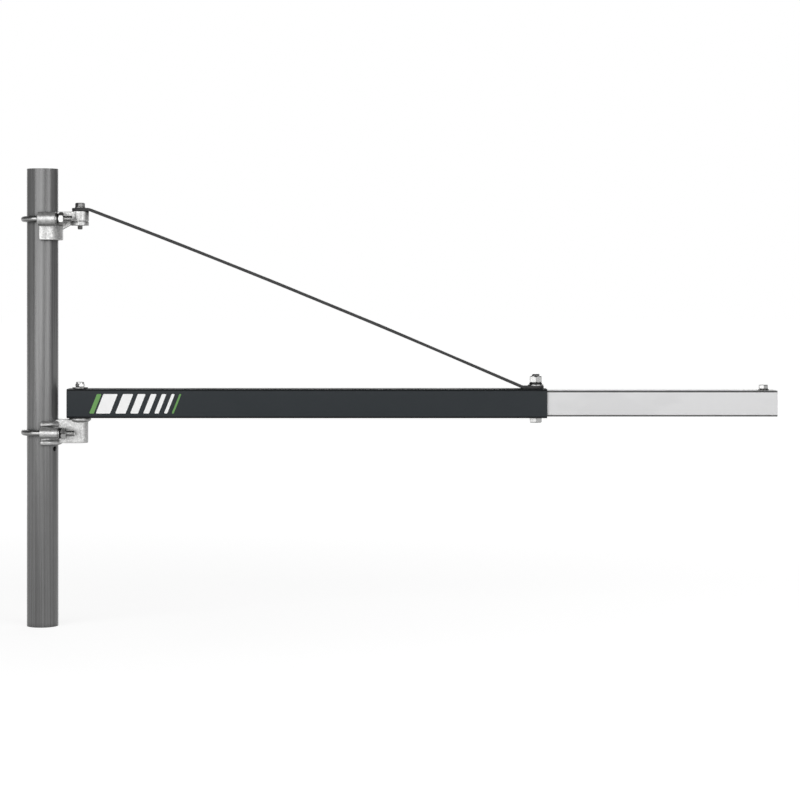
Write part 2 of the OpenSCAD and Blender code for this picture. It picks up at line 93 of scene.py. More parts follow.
class JibFinish(PropertyGroup):
    """Colours of the crane's parts"""

    pole_colour: colour_setting("Pole", "Dull galvanised pole", (0.174, 0.174, 0.174))
    casting_colour: colour_setting("Castings", "Bright hot-dip zinc on the castings", (0.52, 0.52, 0.516))
    zinc_colour: colour_setting("Bolts", "Zinc plate on bolts, nuts and washers", (0.50, 0.50, 0.495))
    u_bolt_colour: colour_setting(
        "U-bolts", "Darker zinc plate on the U-bolts and the upper pivot bolt", (0.34, 0.34, 0.337))
    black_colour: colour_setting("Spring washers", "Blackened spring steel", (0.012, 0.012, 0.012))
    arm_colour: colour_setting("Outer tube", "Anthracite powder coat", (0.024, 0.029, 0.033))
    brace_colour: colour_setting("Brace", "Black powder coat", (0.048, 0.048, 0.049))
    extension_colour: colour_setting("Extension tube", "Light grey satin paint", (0.80, 0.80, 0.805))
    stripe_light: colour_setting("Light stripes", "Plain slanted stripes on the tube", (0.98, 0.98, 0.98))
    stripe_green: colour_setting("Green stripes", "The first and the last of the stripes", (0.14, 0.34, 0.09))


class JibHardware(PropertyGroup):
    """Sizes of the screws that the construction solids leave plain"""

    round_steps: IntProperty(
        name="Steps round", description="Faces round a screw or washer", default=96, min=24, max=192)
    pitch_10: length_setting(
        "Pitch, 10 mm thread", "Rise of the 10 mm thread in one turn", 1.5 * MM, 0.5 * MM, 3 * MM)
    pitch_12: length_setting(
        "Pitch, 12 mm thread", "Rise of the 12 mm thread in one turn", 1.75 * MM, 0.5 * MM, 3 * MM)
    pitch_8: length_setting(
        "Pitch, 8 mm thread", "Rise of the 8 mm thread in one turn", 1.25 * MM, 0.5 * MM, 3 * MM)
    edge_round: length_setting(
        "Edge rounding", "Rounding of the edges of nuts, heads and washers", 0.35 * MM, 0.05 * MM, 1 * MM)
    cast_voxel: length_setting(
        "Casting grain", "Size of the cells that soften the castings", 0.6 * MM, 0.4 * MM, 2 * MM)


class JibStage(PropertyGroup):
    """Camera and light"""

    distance: length_setting("Camera distance", "From the crane's middle plane to the camera", 3.6, 1.5, 10.0)
    eye_height: length_setting("Eye height", "Height of the camera above the floor", 0.53, 0.0, 2.0)
    frame_width: length_setting(
        "Frame width", "Width of the picture at the crane's middle plane", 1.239, 0.5, 3.0)
    frame_x: length_setting("Frame centre X", "Place of its centre along the jib", 0.5534, -1.0, 2.0)
    frame_z: length_setting("Frame centre Z", "Height of its centre above the floor", 0.3492, -1.0, 2.0)
    lamp_glow: FloatProperty(
        name="Lamp brightness", description="Brightness of the two soft lamps in front, where 1 is white",
        default=2.5, min=0.0, max=20.0)
    back_glow: FloatProperty(
        name="Back lamp brightness", description="Brightness of the soft lamp behind, where 1 is white",
        default=1.0, min=0.0, max=20.0)
    fill: FloatProperty(
        name="Fill", description="Strength of the even light from all round", default=0.24, min=0.0, max=2.0)


# ------------ surfaces from arrays

SMOOTH_BELOW = math.radians(35)     # flatter edges are shaded smooth, and sharper ones may be bevelled
FLAT_BELOW = math.radians(0.5)      # faces that are flatter than this against each other are one face


def configured(item, **settings):
    """Sets the attributes of an item; returns it."""
    for name, value in settings.items():
        setattr(item, name, value)
    return item


def new_object(name, data):
    """An object with its data, linked to the scene."""
    item = bpy.data.objects.new(name, data)
    bpy.context.scene.collection.objects.link(item)
    return item


@contextmanager
def edited(mesh):
    """The mesh as a bmesh, written back when the edits are done."""
    work = bmesh.new()
    work.from_mesh(mesh)
    yield work
    work.to_mesh(mesh)
    work.free()


def mesh_object(name, points, faces):
    """A mesh object from arrays, at the origin."""
    mesh = bpy.data.meshes.new(name)
    mesh.from_pydata(points.reshape(-1, 3).tolist(), [], faces)
    mesh.validate()
    with edited(mesh) as work:
        bmesh.ops.recalc_face_normals(work, faces=work.faces)
        for edge in work.edges:
            edge.smooth = edge.calc_face_angle(0.0) < SMOOTH_BELOW
        for face in work.faces:
            face.smooth = True
    return new_object(name, mesh)


def grid_faces(rows, columns, loop_rows):
    """Quads of a grid that closes round its columns, and round its rows too where loop_rows is set."""
    last = rows if loop_rows else rows - 1
    row, column = np.meshgrid(np.arange(last), np.arange(columns), indexing="ij")
    next_row, next_column = (row + 1) % rows, (column + 1) % columns
    quads = np.stack([
        row * columns + column, row * columns + next_column,
        next_row * columns + next_column, next_row * columns + column], axis=-1)
    return quads.reshape(-1, 4).tolist()


def skin(name, rings, loop=False):
    """A closed surface over rings of points, shape (rings, round, 3).

    The rings are joined in a loop, or the first and the last are capped by fans.
    """
    rows, columns = rings.shape[:2]
    points = rings.reshape(-1, 3)
    faces = grid_faces(rows, columns, loop)
    if not loop:
        points = np.vstack([points, rings[0].mean(axis=0), rings[-1].mean(axis=0)])
        column = np.arange(columns)
        after = (column + 1) % columns
        first, last = rows * columns, rows * columns + 1
        base = (rows - 1) * columns
        faces += np.stack([np.full(columns, first), after, column], axis=-1).tolist()
        faces += np.stack([np.full(columns, last), base + column, base + after], axis=-1).tolist()
    return mesh_object(name, points, faces)


ARC_STEPS = 4
FOLDED, STRAIGHT = 0.05, math.pi / 2 - 0.02     # half angles between which a corner is worth an arc
SIDE_SHARE = 0.45                               # how much of a side one arc may take up


def rounded(corners, radius, closed=False):
    """A line of (radius, height) corners with each inner corner replaced by an arc.

    An arc of radius r meets both sides r / tan(half the corner's angle) from the corner.
    """
    corners = np.asarray(corners, float)
    count = len(corners)
    out = []
    for i, corner in enumerate(corners):
        if not closed and i in (0, count - 1):
            out.append(corner[None])
            continue
        before, after = corners[i - 1] - corner, corners[(i + 1) % count] - corner
        reach_before, reach_after = np.linalg.norm(before), np.linalg.norm(after)
        a, b = before / reach_before, after / reach_after
        half = math.acos(np.clip(a @ b, -1, 1)) / 2
        if not FOLDED <= half <= STRAIGHT:
            out.append(corner[None])
            continue
        cut = min(radius / math.tan(half), reach_before * SIDE_SHARE, reach_after * SIDE_SHARE)
        arc = cut * math.tan(half)
        middle = corner + (a + b) / np.linalg.norm(a + b) * math.hypot(cut, arc)
        start, stop = corner + a * cut - middle, corner + b * cut - middle
        t = np.linspace(0, 1, ARC_STEPS + 1)[:, None]
        sweep = start * (1 - t) + stop * t
        out.append(middle + sweep / np.linalg.norm(sweep, axis=1, keepdims=True) * arc)
    return np.vstack(out)


def soft_min(a, b, blend):
    """The smaller of two arrays, with the crossing rounded over about blend."""
    h = np.clip(0.5 + (b - a) / (2 * blend), 0, 1)
    return b * (1 - h) + a * h - blend * h * (1 - h)


def hexagon(angle, across_flats):
    """Distance from the centre to a hexagon's side: half its width over the cosine of the angle from a flat.

    Flats face along X and corners along Y, as on the construction solids.
    """
    sixth = math.pi / 3
    off = np.mod(angle + sixth / 2, sixth) - sixth / 2
    return across_flats / 2 / np.cos(off)


def polar(radius, angle, height):
    """Points at a radius and an angle round Z, at a height."""
    height = np.broadcast_to(height, radius.shape)
    return np.stack([radius * np.cos(angle), radius * np.sin(angle), height], axis=-1)


def angles(steps):
    """Even angles of one turn."""
    return np.arange(steps) * TURN / steps


CORNER_BLEND = 0.3 * MM     # how softly a hexagon's trim meets the outline
THREAD_RINGS = 8            # rings along one turn of a thread
BLUNT = 0.15                # how much of a thread's wave is cut off at its crest and at its root


def lathe(outline, steps, across_flats=None):
    """Rings of an outline of (radius, height) turned about Z, trimmed by a hexagon where one is given."""
    angle = angles(steps)
    radius = np.repeat(outline[:, :1], steps, axis=1)
    if across_flats:
        radius = soft_min(radius, hexagon(angle, across_flats)[None], CORNER_BLEND)
    return polar(radius, angle, outline[:, 1:])


def thread_height(turns):
    """Height of a screw thread, 0 at its root and 1 at its crest: a blunted triangle wave of the turns."""
    wave = 1 - np.abs(2 * np.mod(turns, 1.0) - 1)
    return np.clip(wave * (1 + 2 * BLUNT) - BLUNT, 0, 1)


def place(rings, centre, axis="Z"):
    """Moves rings to centre, with their own Z turned to +Z, -Z or +X."""
    x, y, z = rings[..., 0], rings[..., 1], rings[..., 2]
    moved = {"Z": (x, y, z), "-Z": (x, -y, -z), "X": (z, y, -x)}[axis]
    return np.stack(moved, axis=-1) + centre


def threaded_rod(start, stop, root, crest, pitch, steps, lead):
    """Rings of a threaded stretch along Z.

    The radius is root plus the thread's height times the depth, where the thread's turns are the length over
    the pitch, less the angle's share of a turn. The last ring draws in by lead to a chamfer.
    """
    count = max(4, int(round((stop - start) / pitch * THREAD_RINGS)))
    height = np.linspace(start, stop, count)[:, None]
    angle = angles(steps)[None]
    wave = thread_height((height - start) / pitch - angle / TURN)
    fade = np.clip((height - start) / pitch, 0, 1)
    radius = root + (crest - root) * wave * fade
    chamfer = crest - lead + (stop - height)
    return polar(np.minimum(radius, np.maximum(chamfer, crest - lead)), angle, height)


# ------------ hardware shapes

def turned(rings, degrees):
    """Rings turned about Z."""
    c, s = math.cos(math.radians(degrees)), math.sin(math.radians(degrees))
    x, y = rings[..., 0], rings[..., 1]
    return np.stack([c * x - s * y, s * x + c * y, rings[..., 2]], axis=-1)


CORNER_SPARE = 1.06     # how far an outline reaches past a hexagon's corners, which the hexagon then trims
NUT_FACE = 0.475        # radius of the flat face inside the chamfer, as a share of the width across flats
BORE_LEAD = 0.5 * MM    # chamfer of a nut's bore
THREAD_DEPTH = 0.45 * MM
AXIS_RADIUS = 0.01 * MM


def chamfered(across_flats, face=NUT_FACE):
    """Radius past a hexagon's corners, radius of its flat face and rise of the 30 degree chamfer between."""
    past = across_flats / 2 / math.cos(math.pi / 6) * CORNER_SPARE
    flat = across_flats * face
    return past, flat, (past - flat) * math.tan(math.radians(30))


def hexagon_nut(bore, across_flats, height, hardware):
    """Rings of a nut standing on its origin: an outline round a chamfered bore, trimmed by a hexagon."""
    past, flat, rise = chamfered(across_flats)
    outline = rounded([
        (bore, BORE_LEAD), (bore + BORE_LEAD, 0), (flat, 0), (past, rise),
        (past, height - rise), (flat, height), (bore + BORE_LEAD, height), (bore, height - BORE_LEAD),
    ], hardware.edge_round, closed=True)
    return lathe(outline, hardware.round_steps, across_flats)


def collar_nut(bore, across_flats, height, hardware):
    """Rings of a lock nut standing on its origin: a hexagon that steps in to a round collar on top."""
    past, flat, rise = chamfered(across_flats)
    shoulder = height - 2.5 * MM
    collar = across_flats * 0.48
    lip, dome = 0.8 * MM, 1.2 * MM
    outline = np.vstack([
        rounded([
            (bore, height - BORE_LEAD), (bore, BORE_LEAD), (bore + BORE_LEAD, 0), (flat, 0), (past, rise),
            (past, shoulder - rise), (collar, shoulder)], hardware.edge_round),
        rounded([(collar, shoulder), (collar, height), (bore + lip, height)], dome)[1:]])
    return lathe(outline, hardware.round_steps, across_flats)


def hexagon_bolt(across_flats, head, shank, length, thread, pitch, hardware):
    """Rings of a bolt hanging from its head's seat at the origin: head, plain shank, then its thread."""
    steps = hardware.round_steps
    past, flat, rise = chamfered(across_flats)
    outline = rounded([
        (AXIS_RADIUS, head), (flat, head), (past, head - rise), (past, 0),
        (shank, 0), (shank, -(length - thread)),
    ], hardware.edge_round)
    top = lathe(outline, steps, across_flats)
    rod = threaded_rod(length - thread, length, shank - THREAD_DEPTH, shank, pitch, steps, lead=1 * MM)
    rod[..., 2] *= -1
    return np.concatenate([top, rod])


def washer_section(bore, radius, thickness, hardware):
    """Outline of a washer's cut: a rounded oblong."""
    return rounded([(bore, 0), (radius, 0), (radius, thickness), (bore, thickness)],
                   hardware.edge_round, closed=True)


def flat_washer(bore, width, thickness, hardware):
    """Rings of a flat washer standing on its origin."""
    return lathe(washer_section(bore, width / 2, thickness, hardware), hardware.round_steps)


def spring_washer(bore, width, thickness, hardware):
    """Rings of a split washer standing on its origin: its section carried round, short of a full turn.

    Each ring leans with the cut, which slants across the washer by the same amount over its thickness.
    """
    gap = 0.9 * MM
    lean = math.tan(math.radians(30))
    section = washer_section(bore, width / 2, thickness, hardware)
    middle = (bore + width / 2) / 2
    along = np.linspace(gap / middle, TURN - gap / middle, hardware.round_steps)[:, None]
    angle = along + lean * (section[:, 1] - thickness / 2)[None] / middle
    return polar(np.broadcast_to(section[:, 0], angle.shape), angle, section[:, 1])


PLAIN_RINGS, BEND_RINGS = 8, 49     # rings along a U-bolt's plain leg and along its bend


def u_bolt(low, high, hardware):
    """Rings of a U-bolt in a level plane: a circle carried along one leg, half a circle and the other leg.

    Near each end the circle's radius follows the screw thread, and the end is chamfered.
    """
    steps = hardware.round_steps // 2
    shank = (high[2] - low[2]) / 2
    level = (low[2] + high[2]) / 2
    leg = (high[1] - low[1]) / 2 - shank
    bend_x = low[0] + shank + leg
    end_x = high[0]
    thread, crest, groove, chamfer = 28 * MM, 4.9 * MM, 0.3 * MM, 1.1 * MM
    pitch = hardware.pitch_10
    fine = np.linspace(end_x, end_x - thread, int(thread / pitch * THREAD_RINGS))
    straight = np.concatenate([fine, np.linspace(end_x - thread, bend_x, PLAIN_RINGS)[1:]])
    bend = np.linspace(0, math.pi, BEND_RINGS)[1:-1]
    along = np.concatenate([straight, bend_x - leg * np.sin(bend), straight[::-1]])[:, None]
    # how far the bar's outward side has turned from -Y on its way to +Y
    turn = np.concatenate([0 * straight, bend, 0 * straight + math.pi])[:, None]
    to_end = end_x - along
    angle = angles(steps)[None]
    wave = thread_height(to_end / pitch - angle / TURN)
    threaded = np.clip((thread - to_end) / pitch, 0, 1)
    radius = shank + threaded * (wave * (crest - shank) - (1 - wave) * groove)
    radius = np.minimum(radius, crest - chamfer + to_end)
    outward = radius * np.cos(angle)
    x = along - np.sin(turn) * outward
    y = -np.cos(turn) * (leg + outward)
    return np.stack([x, y, level + radius * np.sin(angle)], -1)


# ------------ softened copies of solids

JOIN_WITHIN, TOO_SHORT = 1e-6, 1e-7     # metres: points that are one point, and edges that are none


def merged_copy(node, name):
    """A copy of a construction solid's mesh with its loose triangles joined."""
    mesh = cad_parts[node].data.copy()
    mesh.materials.clear()
    with edited(mesh) as work:
        bmesh.ops.remove_doubles(work, verts=work.verts, dist=JOIN_WITHIN)
        bmesh.ops.dissolve_degenerate(work, edges=work.edges, dist=TOO_SHORT)
    return new_object(name, mesh)


def settle(piece):
    """Turns a piece's modifiers into its mesh."""
    graph = bpy.context.evaluated_depsgraph_get()
    done = bpy.data.meshes.new_from_object(piece.evaluated_get(graph))
    piece.modifiers.clear()
    piece.data = done


def cast_copy(node, name, voxel):
    """A copy of a solid as a casting: rebuilt in small cells, then smoothed, so that every edge is soft."""
    piece = merged_copy(node, name)
    configured(piece.modifiers.new("Cells", "REMESH"), mode="VOXEL", voxel_size=voxel)
    configured(piece.modifiers.new("Soften", "SMOOTH"), factor=0.5, iterations=6)
    settle(piece)
    piece.data.polygons.foreach_set("use_smooth", np.ones(len(piece.data.polygons), bool))
    return piece


def bevelled_copy(node, name, width):
    """A copy of a solid with its flat faces joined and its sharp edges rounded."""
    piece = merged_copy(node, name)
    with edited(piece.data) as work:
        bmesh.ops.dissolve_limit(work, angle_limit=FLAT_BELOW, verts=work.verts, edges=work.edges)
        for face in work.faces:
            face.smooth = True
    configured(
        piece.modifiers.new("Edges", "BEVEL"), width=width, segments=3, limit_method="ANGLE",
        angle_limit=SMOOTH_BELOW, use_clamp_overlap=True, harden_normals=True)
    settle(piece)
    return piece


# ------------ shared shading effects

FLOAT, VECTOR, COLOUR = "NodeSocketFloat", "NodeSocketVector", "NodeSocketColor"
WHITE = (1, 1, 1, 1)


def feed(tree, node, inputs):
    """Gives a node's inputs, by name or number, their links or their constants."""
    for name, value in inputs.items():
        if hasattr(value, "links"):
            tree.links.new(value, node.inputs[name])
        else:
            node.inputs[name].default_value = value


def add_node(tree, kind, inputs=None, **settings):
    """A node with its settings and its inputs; returns its outputs."""
    node = configured(tree.nodes.new(kind), **settings)
    feed(tree, node, inputs or {})
    return node.outputs


def math_node(tree, operation, a, b=None):
    """A Math node on sockets or numbers; returns its output."""
    return add_node(tree, "ShaderNodeMath", {0: a} if b is None else {0: a, 1: b}, operation=operation)[0]


def weighted(tree, a, share_a, b, share_b):
    """Two values added by their shares; returns the output."""
    return math_node(tree, "ADD", *(
        math_node(tree, "MULTIPLY", value, share) for value, share in ((a, share_a), (b, share_b))))


def stretch_node(tree, value, low, high, to_low, to_high):
    """Maps a value from one range to another, clamped; returns its output."""
    return add_node(tree, "ShaderNodeMapRange", {
        "Value": value, "From Min": low, "From Max": high, "To Min": to_low, "To Max": to_high})["Result"]


def noise_node(tree, vector, scale, detail, roughness=0.55):
    """A noise texture; returns its value."""
    return add_node(tree, "ShaderNodeTexNoise", {
        "Vector": vector, "Scale": scale, "Detail": detail, "Roughness": roughness})["Fac"]


def stretched_node(tree, vector, factors):
    """A vector multiplied by three numbers; returns its output."""
    return add_node(tree, "ShaderNodeVectorMath", {0: vector, 1: factors}, operation="MULTIPLY")[0]


def scaled_node(tree, colour, factor):
    """A colour multiplied by one value; returns its output."""
    return add_node(tree, "ShaderNodeVectorMath", {0: colour, "Scale": factor}, operation="SCALE")[0]


def axes(tree, vector):
    """The outputs X, Y and Z of a vector."""
    return add_node(tree, "ShaderNodeSeparateXYZ", {0: vector})


def mix_colour(tree, factor, a, b):
    """A mix of colour A into colour B, given as sockets or colours; returns its output."""
    return add_node(tree, "ShaderNodeMix", {0: factor, 6: a, 7: b}, data_type="RGBA")[2]


def bump_node(tree, height, distance, strength):
    """A height as bump; returns its normal."""
    return add_node(tree, "ShaderNodeBump", {
        "Height": height, "Distance": distance, "Strength": strength})["Normal"]


def toned(colour, gain):
    """A colour made darker or lighter, up to white."""
    return (*[min(1, c * gain) for c in colour[:3]], 1)


def ramp_node(tree, value, positions, colour, gains):
    """A colour that runs from a darker to a lighter tone as a value goes from one position to the other."""
    node = tree.nodes.new("ShaderNodeValToRGB")
    for element, position, gain in zip(node.color_ramp.elements, positions, gains):
        configured(element, position=position, color=toned(colour, gain))
    feed(tree, node, {"Fac": value})
    return node.outputs["Color"]


def new_group(name, inputs, outputs):
    """A shader node group with inputs and outputs of the given kinds.

    Returns it, what its input node gives and its output node.
    """
    group = bpy.data.node_groups.new(name, "ShaderNodeTree")
    for way, sockets in (("INPUT", inputs), ("OUTPUT", outputs)):
        for label, kind in sockets.items():
            group.interface.new_socket(name=label, in_out=way, socket_type=kind)
    return group, group.nodes.new("NodeGroupInput").outputs, group.nodes.new("NodeGroupOutput")


def mottle_group():
    """Mottle: a colour lightened and darkened in soft clouds and fine grain, with a grain height for bump."""
    group, given, result = new_group(
        "Mottle",
        {"Colour": COLOUR, "Vector": VECTOR, "Amount": FLOAT},
        {"Colour": COLOUR, "Grain": FLOAT, "Cloud": FLOAT})
    cloud = noise_node(group, given["Vector"], 22.0, 3.0)
    grain = noise_node(group, given["Vector"], 900.0, 2.0)
    swing = math_node(group, "SUBTRACT", weighted(group, cloud, 0.7, grain, 0.3), 0.5)
    swing = math_node(group, "MULTIPLY", math_node(group, "MULTIPLY", swing, 2.0), given["Amount"])
    gain = math_node(group, "ADD", swing, 1.0)
    feed(group, result, {"Colour": scaled_node(group, given["Colour"], gain), "Grain": grain, "Cloud": cloud})
    return group


def painted_shade_group():
    """Painted shade: darkens a colour in crevices, along sharp edges and on undersides, where shade falls.

    Crevices come from what lies near in front of the surface, edges from what lies near behind it.
    """
    group, given, result = new_group(
        "Painted Shade",
        {"Colour": COLOUR, "Amount": FLOAT, "Reach": FLOAT, "Edge": FLOAT, "Under": FLOAT},
        {"Colour": COLOUR})

    def near(distance, inside, low, high):
        found = add_node(
            group, "ShaderNodeAmbientOcclusion", {"Distance": distance}, samples=6, inside=inside)
        return stretch_node(group, found["AO"], low, high, 1.0, 0.0)

    normal = add_node(group, "ShaderNodeTexCoord")["Normal"]
    # painted shade: occlusion darkens crevices and sharp edges, and a downward normal darkens undersides
    masks = {
        "Amount": near(given["Reach"], False, 0.15, 0.9),
        "Edge": near(1.4 * MM, True, 0.5, 0.95),
        "Under": stretch_node(group, axes(group, normal)["Z"], -0.9, -0.1, 1.0, 0.0),
    }
    left = [math_node(group, "SUBTRACT", 1.0, math_node(group, "MULTIPLY", mask, given[amount]))
            for amount, mask in masks.items()]
    shade = math_node(group, "MULTIPLY", left[0], math_node(group, "MULTIPLY", left[1], left[2]))
    feed(group, result, {"Colour": scaled_node(group, given["Colour"], shade)})
    return group


def rolled_edge_group():
    """Rolled Edge: a mask that is 1 along the rounded long edges of a square tube lying along X, where
    painted shade is put.

    Inset is half the tube's side less the edge radius. Where both the distance across and the distance up
    from the tube's middle pass it, the smaller of the two steps past it, over the radius, gives the mask.
    """
    group, given, result = new_group(
        "Rolled Edge",
        {"Vector": VECTOR, "Middle": FLOAT, "Inset": FLOAT, "Radius": FLOAT},
        {"Mask": FLOAT})
    where = axes(group, given["Vector"])
    above = math_node(group, "SUBTRACT", where["Z"], given["Middle"])
    across, up = (math_node(group, "SUBTRACT", math_node(group, "ABSOLUTE", offset), given["Inset"])
                  for offset in (where["Y"], above))
    step = math_node(group, "DIVIDE", math_node(group, "MINIMUM", across, up), given["Radius"])
    feed(group, result, {"Mask": stretch_node(group, step, 0.12, 0.4, 0.0, 1.0)})
    return group


def seen_rays(tree, shown):
    """1 for rays from the camera and through glass, and a mask for the rays that metal sends on."""
    rays = add_node(tree, "ShaderNodeLightPath")
    straight = math_node(tree, "MAXIMUM", rays["Is Camera Ray"], rays["Is Transmission Ray"])
    return math_node(tree, "MAXIMUM", straight, math_node(tree, "MULTIPLY", rays["Is Glossy Ray"], shown))


GROUPS = {}


def use_group(tree, build, inputs):
    """Places a shared group in a material, building it the first time; returns its outputs."""
    if build not in GROUPS:
        GROUPS[build] = build()
    return add_node(tree, "ShaderNodeGroup", inputs, node_tree=GROUPS[build])


# ------------ materials

def start_material(name, roughness, metallic, specular):
    """A material with a Principled shader; returns it, its tree, the shader and its Object coordinates."""
    material = bpy.data.materials.new(name)
    material.use_nodes = True
    tree = material.node_tree
    shader = tree.nodes["Principled BSDF"]
    feed(tree, shader, {"Roughness": roughness, "Metallic": metallic, "Specular IOR Level": specular})
    return material, tree, shader, add_node(tree, "ShaderNodeTexCoord")["Object"]


def mottled(tree, coordinates, colour, amount):
    """A mottled colour; returns the group's outputs."""
    return use_group(tree, mottle_group, {"Vector": coordinates, "Colour": colour, "Amount": amount})


def cloudy(tree, base, low, high):
    """A value that follows the clouds of a mottled colour from low to high."""
    return stretch_node(tree, base["Cloud"], 0.3, 0.7, low, high)


def darkened(tree, colour, amount, reach, edge=0.0, under=0.0):
    """A colour with painted shade in crevices, along edges and on undersides; returns its output."""
    return use_group(tree, painted_shade_group, {
        "Colour": colour, "Amount": amount, "Reach": reach, "Edge": edge, "Under": under})["Colour"]


def painted_edge_shade(tree, coordinates, colour, edges, strength, level):
    """A colour darkened by painted shade along a square tube's rolled edges, given as its two corners and
    edge radius.
    """
    low, high, radius = edges
    mask = use_group(tree, rolled_edge_group, {
        "Vector": coordinates, "Middle": (low[2] + high[2]) / 2,
        "Inset": (high[2] - low[2]) / 2 - radius, "Radius": radius})["Mask"]
    # painted shade: the edges are mixed towards a dark level
    return mix_colour(tree, math_node(tree, "MULTIPLY", mask, strength), colour, (level, level, level, 1))


def powder_coat(name, colour, edges=None):
    """Satin powder coat: a fine orange-peel bump, slight clouds of tone and sheen, painted shade in crevices
    and painted shade along the rolled edges.
    """
    material, tree, shader, coordinates = start_material(name, roughness=0.5, metallic=0.0, specular=0.18)
    base = mottled(tree, coordinates, colour, 0.1)
    # painted shade in crevices
    tone = darkened(tree, base["Colour"], 0.5, 6 * MM)
    # painted shade along the rolled edges, where edges are given
    if edges:
        tone = painted_edge_shade(tree, coordinates, tone, edges, strength=0.7, level=0.004)
    peel = noise_node(tree, coordinates, 1400.0, 1.0)
    feed(tree, shader, {
        "Base Color": tone,
        "Roughness": cloudy(tree, base, 0.45, 0.58),
        "Normal": bump_node(tree, peel, 0.04 * MM, 0.5)})
    return material


def zinc_plate(name, colour, roughness=0.26, crevice_shade=0.7, under=0.4, thread_light_from=None):
    """Zinc plate on turned steel: metallic, with a fine grain, soft blotches, and painted shade in crevices,
    along sharp edges and on undersides.

    Past a given X along the part the colour is painted lighter, a painted highlight on the threads.
    """
    material, tree, shader, coordinates = start_material(name, roughness, metallic=0.95, specular=0.5)
    tone = colour
    # painted highlight: the threaded end is painted 2.4 times lighter
    if thread_light_from is not None:
        along = axes(tree, coordinates)["X"]
        rolled = stretch_node(tree, along, thread_light_from, thread_light_from + MM, 0.0, 1.0)
        tone = mix_colour(tree, rolled, colour, toned(colour, 2.4))
    base = mottled(tree, coordinates, tone, 0.35)
    # painted shade in crevices, along sharp edges and on undersides
    feed(tree, shader, {
        "Base Color": darkened(tree, base["Colour"], crevice_shade, 3 * MM, edge=0.85, under=under),
        "Roughness": cloudy(tree, base, roughness - 0.06, roughness + 0.08),
        "Normal": bump_node(tree, base["Grain"], 0.06 * MM, 0.5)})
    return material


def cast_zinc(name, colour):
    """Hot-dip zinc on a casting: small crystals of differing tone over a lumpy skin, with painted shade in
    crevices and on undersides.
    """
    material, tree, shader, coordinates = start_material(name, roughness=0.35, metallic=0.72, specular=0.4)
    crystals = add_node(tree, "ShaderNodeTexVoronoi", {"Vector": coordinates, "Scale": 520.0})
    tone = add_node(tree, "ShaderNodeSeparateColor", {"Color": crystals["Color"]})
    lumps = noise_node(tree, coordinates, 300.0, 4.0, 0.6)
    both = weighted(tree, tone["Red"], 0.35, lumps, 0.65)
    base = mottled(tree, coordinates, ramp_node(tree, both, (0.25, 0.7), colour, (0.72, 1.22)), 0.12)
    height = math_node(tree, "ADD", lumps, math_node(tree, "MULTIPLY", tone["Blue"], 0.15))
    # painted shade in crevices and on undersides
    feed(tree, shader, {
        "Base Color": darkened(tree, base["Colour"], 0.92, 10 * MM, under=0.55),
        "Roughness": stretch_node(tree, tone["Green"], 0.0, 1.0, 0.32, 0.45),
        "Normal": bump_node(tree, height, 0.3 * MM, 0.4)})
    return material


def pole_steel(name, colour):
    """Weathered galvanised tube: drawn streaks of lighter and darker grey that run its whole length."""
    material, tree, shader, coordinates = start_material(name, roughness=0.4, metallic=0.4, specular=0.3)
    fine = noise_node(tree, stretched_node(tree, coordinates, (1, 1, 0.008)), 380.0, 3.0, 0.6)
    wide = noise_node(tree, stretched_node(tree, coordinates, (1, 1, 0.02)), 95.0, 2.0)
    both = weighted(tree, fine, 0.55, wide, 0.45)
    base = mottled(tree, coordinates, ramp_node(tree, both, (0.36, 0.64), colour, (0.78, 1.25)), 0.1)
    # painted shade in crevices
    feed(tree, shader, {
        "Base Color": darkened(tree, base["Colour"], 0.5, 8 * MM),
        "Roughness": stretch_node(tree, both, 0.35, 0.65, 0.22, 0.34),
        "Normal": bump_node(tree, math_node(tree, "ADD", fine, base["Grain"]), 0.08 * MM, 0.5)})
    return material


def satin_grey(name, colour, edges):
    """Light satin finish with faint handling marks, painted shade in crevices and dark painted shade along
    the rolled edges.
    """
    material, tree, shader, coordinates = start_material(name, roughness=0.42, metallic=0.0, specular=0.3)
    base = mottled(tree, coordinates, colour, 0.03)
    patch = noise_node(tree, stretched_node(tree, coordinates, (0.5, 1, 1)), 28.0, 2.0, 0.4)
    marks = stretch_node(tree, patch, 0.5, 0.62, 0.0, 0.1)
    # painted shade in crevices
    tone = darkened(tree, mix_colour(tree, marks, base["Colour"], (0.45, 0.45, 0.46, 1)), 0.55, 6 * MM)
    # painted shade along the rolled edges
    feed(tree, shader, {
        "Base Color": painted_edge_shade(tree, coordinates, tone, edges, strength=0.93, level=0.05),
        "Roughness": cloudy(tree, base, 0.4, 0.52),
        "Normal": bump_node(tree, base["Grain"], 0.03 * MM, 0.4)})
    return material


def plain_black(name, colour):
    """Blackened spring steel with a faint grey bloom."""
    material, tree, shader, coordinates = start_material(name, roughness=0.45, metallic=0.3, specular=0.35)
    base = mottled(tree, coordinates, colour, 0.4)
    normal = bump_node(tree, base["Grain"], 0.04 * MM, 0.4)
    feed(tree, shader, {"Base Color": base["Colour"], "Normal": normal})
    return material


def vinyl(name, colour):
    """Thin printed film: an even colour with a slight wear of its sheen."""
    material, tree, shader, coordinates = start_material(name, roughness=0.4, metallic=0.0, specular=0.3)
    base = mottled(tree, coordinates, colour, 0.05)
    feed(tree, shader, {"Base Color": base["Colour"], "Roughness": cloudy(tree, base, 0.34, 0.48)})
    return material


